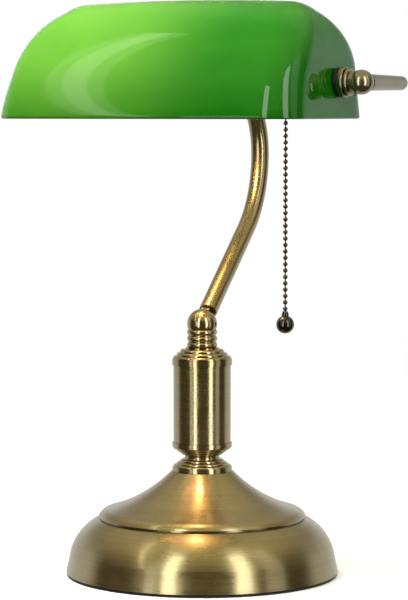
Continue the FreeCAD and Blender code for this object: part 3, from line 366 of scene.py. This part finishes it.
def green_glass():
    """Cased green glass with a fire-polished gloss, faint ream and a few seeds.

    Its colour carries painted light and shade: lighter towards the left end of the shade and deeper towards
    the right end and near the rim.
    """
    finish = Finish("green_glass", Roughness=0.35, Specular_IOR_Level=0.0, Coat_Weight=1.0,
                    Coat_Roughness=0.035, Coat_IOR=1.5, Subsurface_Weight=0.3,
                    Subsurface_Scale=0.010, Subsurface_Anisotropy=0.3,
                    Subsurface_Radius=SCATTER_RADIUS)
    along, _, up = finish.parts(finish.place)
    # Painted light and shade: a lit green at the left end fades to a shaded green at the right, and the
    # colour is painted darker near the rim.
    left = finish.remap(along, SHADE_LOW.x * 0.4, SHADE_HIGH.x * 0.55, 1.0, 0.0)
    rim = finish.remap(up, SHADE_LOW.z, SHADE_LOW.z + RIM_SHADE_BAND, 0.45, 0.0)
    density = finish.spread(finish.noise(9.0, 2.0), 0.0, 0.3)
    ream = finish.noise(14.0, 3.0, finish.stretched((1.0, 2.5, 4.0)))
    seeds = finish.remap(finish.noise(1400.0, 1.0), 0.80, 0.84, 0.0, 0.5)
    tone = finish.blend(left, GLASS_SHADED_RIGHT, GLASS_LIT_LEFT)
    tone = finish.blend(rim, tone, GLASS_RIM_SHADE)
    tone = finish.blend(density, tone, GLASS_DENSE)
    tone = finish.blend(finish.remap(ream, 0.4, 0.7, 0.0, 0.12), tone, GLASS_REAM)
    finish.set("Base Color", finish.blend(seeds, tone, GLASS_SEED))
    ripple = finish.bump(finish.noise(26.0, 2.0), 0.05 * MM, 0.35)
    finish.set("Coat Normal", ripple)
    finish.set("Normal", ripple)
    return finish.material


def opal_lining():
    """White opal layer inside the shade."""
    finish = Finish("opal_lining", IOR=1.5, Coat_Weight=0.6, Coat_Roughness=0.05,
                    Subsurface_Weight=0.4, Subsurface_Scale=0.006)
    cloud = finish.spread(finish.noise(22.0, 4.0), 0.0, 1.0)
    finish.set("Base Color", finish.blend(cloud, OPAL_LIGHT, OPAL_GREEN))
    finish.set("Roughness", finish.spread(finish.noise(300.0, 3.0), 0.16, 0.28))
    finish.set("Normal", finish.bump(finish.noise(30.0, 2.0), 0.08 * MM, 0.4))
    return finish.material


# ---- glass shade ----------------------------------------------------------------------

WALL = 4.0 * MM
RIM_ROUND = 1.5 * MM
SHOULDER = 30.0 * MM    # level at which the rear and the ends start to arch over
END_ROUND = 33.0 * MM   # how far the ends come in from there to the ridge
END_DRAFT = 3.2 * MM    # how far they lean in below it
CORNER = 22.0 * MM      # radius of the corners, seen from above
CORNER_SHARE = 0.45     # largest share of the depth that a corner takes
FRONT_POWER = 1.35      # bulge of the front, where 2 would be an ellipse
CROWN = 4.0 * MM        # fall of the ridge towards its ends
BOW = 3.5 * MM          # how far back the front's ends lie
CORNER_STEPS = 10
LONG_STEPS = 40
END_STEPS = 16
OUTER_STEPS = 44
INNER_STEPS = 40
RIM_STEPS = 4
RIGHT_ANGLE = math.pi / 2


def clamp(value):
    """The value, kept between 0 and 1."""
    return min(max(value, 0), 1)


def shade_outline(level, inset):
    """Half length, front, rear and corner radius of the shade at a level over its rim."""
    height = SHADE_HEIGHT - inset
    share = clamp(level / height)
    above = clamp((level - SHOULDER) / (height - SHOULDER))
    arch = math.sqrt(max(1 - above ** 2, 0))
    draft = END_DRAFT * clamp(level / SHOULDER)
    half = SHADE_HIGH.x - inset - draft - END_ROUND * (1 - arch)
    front = (KNOB.y - SHADE_LOW.y - inset) * math.sqrt(max(1 - share ** FRONT_POWER, 0))
    rear = (SHADE_HIGH.y - KNOB.y - inset) * arch
    corner = min(CORNER - inset, CORNER_SHARE * (front + rear))
    return half, front, rear, corner


def shade_ring(level, inset):
    """Points round the shade at a level, the same number at each, from the right rear corner."""
    half, front, rear, corner = shade_outline(level, inset)
    share = clamp(level / SHADE_HEIGHT)
    points = []
    corners = ((1, 1), (-1, 1), (-1, -1), (1, -1))
    centres = []
    for side_x, side_y in corners:
        reach = rear if side_y > 0 else front
        centres.append(Vector((side_x * (half - corner), side_y * (reach - corner))))
    for index, centre in enumerate(centres):
        start = index * RIGHT_ANGLE
        for step in range(CORNER_STEPS + 1):
            angle = start + step / CORNER_STEPS * RIGHT_ANGLE
            points.append(centre + corner * Vector((math.cos(angle), math.sin(angle))))
        angle = start + RIGHT_ANGLE
        begin = points[-1]
        end = centres[(index + 1) % 4] + corner * Vector((math.cos(angle), math.sin(angle)))
        count = LONG_STEPS if index % 2 == 0 else END_STEPS
        points += [begin.lerp(end, step / count) for step in range(1, count)]
    placed = []
    for point in points:
        along = (point.x / SHADE_HIGH.x) ** 2
        fall = CROWN * along * share ** 2
        back = BOW * along * max(-point.y, 0) / (KNOB.y - SHADE_LOW.y)
        placed.append(Vector((point.x, point.y + KNOB.y + back, SHADE_LOW.z + level - fall)))
    return placed


def wall_levels(height, steps):
    """Levels over the rim's rounding, closer together towards the ridge."""
    levels = [height * math.sin(step / steps * RIGHT_ANGLE) for step in range(steps + 1)]
    return [level for level in levels if level > RIM_ROUND]


def shade_rings():
    """Rings from the outer ridge down, round the rim, and up to the inner ridge."""
    rings = [shade_ring(level, 0) for level in reversed(wall_levels(SHADE_HEIGHT, OUTER_STEPS))]
    turns = [step / RIM_STEPS * RIGHT_ANGLE for step in range(RIM_STEPS + 1)]
    for angle in turns:
        rings.append(shade_ring(RIM_ROUND * (1 - math.sin(angle)), RIM_ROUND * (1 - math.cos(angle))))
    rim = len(rings) - 1
    for angle in turns:
        rings.append(shade_ring(RIM_ROUND * (1 - math.cos(angle)), WALL - RIM_ROUND * (1 - math.sin(angle))))
    rings += [shade_ring(level, WALL) for level in wall_levels(SHADE_HEIGHT - WALL, INNER_STEPS)]
    return rings, rim


def ridge_faces(ring_start, count, flip):
    """Quads between the rear and front halves of a ridge's ring, and one face at each end."""
    first = CORNER_STEPS
    last = first + LONG_STEPS + CORNER_STEPS + END_STEPS + CORNER_STEPS
    outlines = []
    for step in range(LONG_STEPS):
        across = last + LONG_STEPS - step
        outlines.append((first + step, first + step + 1, across - 1, across))
    for start in (first + LONG_STEPS, last + LONG_STEPS):
        outlines.append([start + step for step in range(2 * CORNER_STEPS + END_STEPS + 1)])
    return [[ring_start + item % count for item in (reversed(outline) if flip else outline)]
            for outline in outlines]


def glass_shade():
    """Pressed glass with a green outside and a white lining, in place of the plain CAD shade."""
    rings, rim = shade_rings()
    count = len(rings[0])
    verts = [point for ring in rings for point in ring]
    faces = []
    layers = []
    for row in range(len(rings) - 1):
        here, below = row * count, (row + 1) * count
        for column in range(count):
            following = (column + 1) % count
            faces.append((here + column, below + column, below + following, here + following))
            layers.append(0 if row <= rim + RIM_STEPS + 1 else 1)
    for start, flip, layer in ((0, False, 0), ((len(rings) - 1) * count, True, 1)):
        closing = ridge_faces(start, count, flip)
        faces += closing
        layers += [layer] * len(closing)
    mesh = bpy.data.meshes.new("shade_glass")
    mesh.from_pydata(verts, [], faces)
    mesh.materials.append(green_glass())
    mesh.materials.append(opal_lining())
    mesh.polygons.foreach_set("material_index", layers)
    mesh.polygons.foreach_set("use_smooth", [True] * len(faces))
    mesh.validate()
    shade = bpy.data.objects.new("shade_glass", mesh)
    bpy.context.scene.collection.objects.link(shade)
    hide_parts("glass_shade")
    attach(shade, "shade")


# ---- materials of the CAD pieces ------------------------------------------------------

def dress(material, *nodes):
    """Gives CAD pieces a material and leaves their meshes alone."""
    for node in nodes:
        for slot in frame["nodes"][node].material_slots:
            slot.material = material


def both_sides(*pieces):
    return [f"{piece}_{side}" for piece in pieces for side in ("left", "right")]


def dress_nodes():
    """Every CAD piece but the shade, which brings its own two materials."""
    dress(brass("brushed_base", 0.30, 0.25, ring="Z", stretch=0.82), "base_shell")
    dress(brass("brushed_column", 0.26, 0.20, ring="Z", stretch=0.80), "column_tube")
    dress(brass("turned_brass", 0.20, 0.25, ring="Z", stretch=0.45), "base_flange", "neck_ring",
          "column_foot_cap", "column_top_cap", "swivel_collar", "pivot_ball")
    dress(brass("drawn_brass", 0.25, 0.25, KNOB, ALONG_X), "arm_tube", "arm_tongue")
    dress(brass("yoke_brass", 0.27, 0.25, KNOB, ALONG_X, light=BRASS_GREY, olive=BRASS_SMOKE),
          "yoke_hub", "yoke_bar", *both_sides("side_arm"))
    dress(brass("knob_brass", 0.19, 0.30, KNOB, ALONG_X, light=BRASS_GREY, olive=BRASS_SMOKE),
          *both_sides("elbow", "collar_nut", "spacer_ring", "inner_washer", "nipple", "nipple_nut"))
    dress(brass("socket_brass", 0.24, 0.35, KNOB, ALONG_X), "socket_cap", "socket_shell",
          "chain_guide", "centre_contact")
    dress(steel(), "bottom_plate", "base_washer", "base_nut", "weight_locknut", "centre_pipe",
          "collar_reducer", "swivel_stem", "tilt_pin")
    dress(casting(), "base_weight")
    dress(felt(), "base_pad")
    dress(rubber(), "cord_bushing", *both_sides("shade_grommet"))
    dress(plastic("phenolic", PHENOLIC), "switch_block", "swivel_washer", *both_sides("tilt_washer"))
    dress(plastic("fibre_board", FIBRE, 0.7), "socket_liner")
    dress(plastic("wire_jacket", JACKET, 0.4), "column_wires", "arm_wires")
    dress(dark_bronze(), "pull_chain", "guided_chain", "chain_pendant", "pendant_collar")
    dress(aluminium(), "screw_shell")


# ---- studio ---------------------------------------------------------------------------

AZIMUTH = 26.5
PITCH = 4.2
DISTANCE = 1.790
EYE_UNDER_KNOB = 0.018
LENS = 155.6
CAMERA_ASIDE = 0.0013
FAR_CLIP = 20
STRIP_DISTANCE = 1.35
STRIP_HEIGHT = 2.0
STRIP_RISE = 14
AIM_BASE = 0.16
AIM_SHADE = 0.36
BULB_FROM_SOCKET = 0.062
FLOOR_RADIUS = 1.4
FLOOR_SOLID = 0.35
FLOOR_Z = -0.1 * MM     # just under the felt, so that the two faces don't meet
FLOOR_SIDES = 96
PALE = (0.93, 0.93, 0.92)
FLOOR_GLOW = (0.80, 0.88, 1.0, 1.0)
WHITE = (1, 1, 1)
KEY_COLOUR = (1.0, 0.97, 0.84)
STREAK_COLOUR = (1.0, 1.0, 0.8)
BULB_COLOUR = (1.0, 0.58, 0.30)
STUDIO_DARK = (0.085, 0.070, 0.048)
STUDIO_CEILING = (0.60, 0.53, 0.33)
STUDIO_SWEEP = (0.62, 0.62, 0.60)


def outward(azimuth, elevation=0.0):
    """Unit vector from the lamp: azimuth 0 is the front, 90 the side of the pull chain."""
    turn, rise = math.radians(azimuth), math.radians(elevation)
    return Vector((math.sin(turn) * math.cos(rise), -math.cos(turn) * math.cos(rise), math.sin(rise)))


def add(name, data):
    """Puts a new object in the scene."""
    made = bpy.data.objects.new(name, data)
    bpy.context.scene.collection.objects.link(made)
    return made


def camera():
    """Long lens, about level with the shade's rim, looking slightly down."""
    data = bpy.data.cameras.new("camera")
    data.lens = LENS
    data.clip_end = FAR_CLIP
    eye = add("camera", data)
    turn = math.radians(AZIMUTH)
    aside = Vector((math.cos(turn), math.sin(turn), 0))
    eye.location = outward(AZIMUTH) * DISTANCE + aside * CAMERA_ASIDE
    eye.location.z = KNOB.z - EYE_UNDER_KNOB
    eye.rotation_mode = "QUATERNION"
    eye.rotation_quaternion = (-outward(AZIMUTH, PITCH)).to_track_quat("-Z", "Y")
    bpy.context.scene.camera = eye


def softbox(name, azimuth, elevation, distance, width, height, power, colour=WHITE, aim=AIM_BASE, roll=0):
    """Area light round the lamp, facing a point on its axis at the aim's height, rolled to the left."""
    data = bpy.data.lights.new(name, "AREA")
    data.shape = "RECTANGLE"
    data.size = width
    data.size_y = height
    data.energy = power
    data.color = colour
    box = add(name, data)
    box.location = outward(azimuth, elevation) * distance + Vector((0, 0, aim))
    box.rotation_mode = "QUATERNION"
    facing = (-outward(azimuth, elevation)).to_track_quat("-Z", "Y")
    box.rotation_quaternion = facing @ Quaternion((0, 0, 1), math.radians(roll))
    box.visible_camera = False
    return box


def lights():
    """Strips that the brass and the glass mirror, and panels that light them unseen."""
    softbox("left_strip", -1, STRIP_RISE, STRIP_DISTANCE, 0.28, STRIP_HEIGHT, 6.6)
    softbox("faint_strip", -17, 4, STRIP_DISTANCE, 0.24, 0.8, 0.8)
    softbox("right_strip", 62, STRIP_RISE, STRIP_DISTANCE, 0.34, STRIP_HEIGHT, 7.3)
    softbox("right_panel", 90, STRIP_RISE, STRIP_DISTANCE, 0.45, STRIP_HEIGHT, 1.6)
    for name, width in (("streak_core", 0.05), ("streak_edge", 0.12)):
        softbox(name, -43, 38, STRIP_DISTANCE, width, 1.9, 0.7, STREAK_COLOUR, AIM_SHADE, roll=31)
    key = softbox("key_panel", -48, 60, 0.58, 0.35, 0.35, 6.2, KEY_COLOUR, AIM_SHADE)
    key.visible_glossy = False
    fill = softbox("back_fill", 200, 35, 1.5, 1.2, 1.0, 9)
    fill.visible_glossy = False
    warm_bulb()


def warm_bulb():
    """Small warm light where the bulb would be."""
    data = bpy.data.lights.new("warm_bulb", "POINT")
    data.energy = 0.5
    data.color = BULB_COLOUR
    data.shadow_soft_size = 18 * MM
    bulb = add("warm_bulb", data)
    bulb.location = (SOCKET.x - BULB_FROM_SOCKET, KNOB.y, KNOB.z)
    bulb.visible_camera = False


def world():
    """White to the camera. In reflections, a dark studio with a warm ceiling and a pale sweep behind."""
    space = bpy.data.worlds.new("studio")
    space.use_nodes = True
    bpy.context.scene.world = space
    sky = Nodes(space.node_tree)
    direction = sky.node("ShaderNodeTexCoord").outputs["Generated"]
    facing = sky.node("ShaderNodeVectorMath", operation="DOT_PRODUCT")
    sky.feed(facing.inputs[0], direction)
    sky.feed(facing.inputs[1], -outward(AZIMUTH))
    up = sky.parts(direction)[2]
    behind = sky.remap(facing.outputs["Value"], 0.10, 0.42, 0.0, 1.0)
    low = sky.remap(up, 0.15, 0.55, 1.0, 0.15)
    ceiling = sky.remap(up, 0.22, 0.85, 0.0, 1.0)
    studio = sky.blend(ceiling, STUDIO_DARK, STUDIO_CEILING)
    studio = sky.blend(sky.maths("MULTIPLY", behind, low), studio, STUDIO_SWEEP)
    to_camera = sky.node("ShaderNodeLightPath").outputs["Is Camera Ray"]
    sky.feed(sky.tree.nodes["Background"].inputs["Color"], sky.blend(to_camera, studio, WHITE))


def floor():
    """Pale disc that fades out towards its edge and is seen only from above and by the camera."""
    turns = [step / FLOOR_SIDES * math.tau for step in range(FLOOR_SIDES)]
    verts = [(FLOOR_RADIUS * math.cos(turn), FLOOR_RADIUS * math.sin(turn), FLOOR_Z) for turn in turns]
    mesh = bpy.data.meshes.new("floor")
    mesh.from_pydata(verts, [], [range(FLOOR_SIDES)])
    finish = Finish("pale_floor", Roughness=0.75, Emission_Color=FLOOR_GLOW, Emission_Strength=0.30)
    finish.set("Base Color", finish.blend(finish.noise(3.0, 3.0), PALE, darker(PALE, 0.99)))
    away = finish.node("ShaderNodeVectorMath", operation="LENGTH")
    finish.feed(away.inputs[0], finish.place)
    solid = finish.remap(away.outputs["Value"], FLOOR_SOLID, FLOOR_RADIUS, 1.0, 0.0)
    from_below = finish.node("ShaderNodeNewGeometry").outputs["Backfacing"]
    from_above = finish.maths("SUBTRACT", 1.0, from_below)
    finish.set("Alpha", finish.maths("MULTIPLY", solid, from_above))
    mesh.materials.append(finish.material)
    ground = add("floor", mesh)
    ground.visible_glossy = False
    ground.visible_diffuse = False


glass_shade()
dress_nodes()
floor()
world()
lights()
camera()
bpy.context.scene.view_settings.view_transform = "Standard"
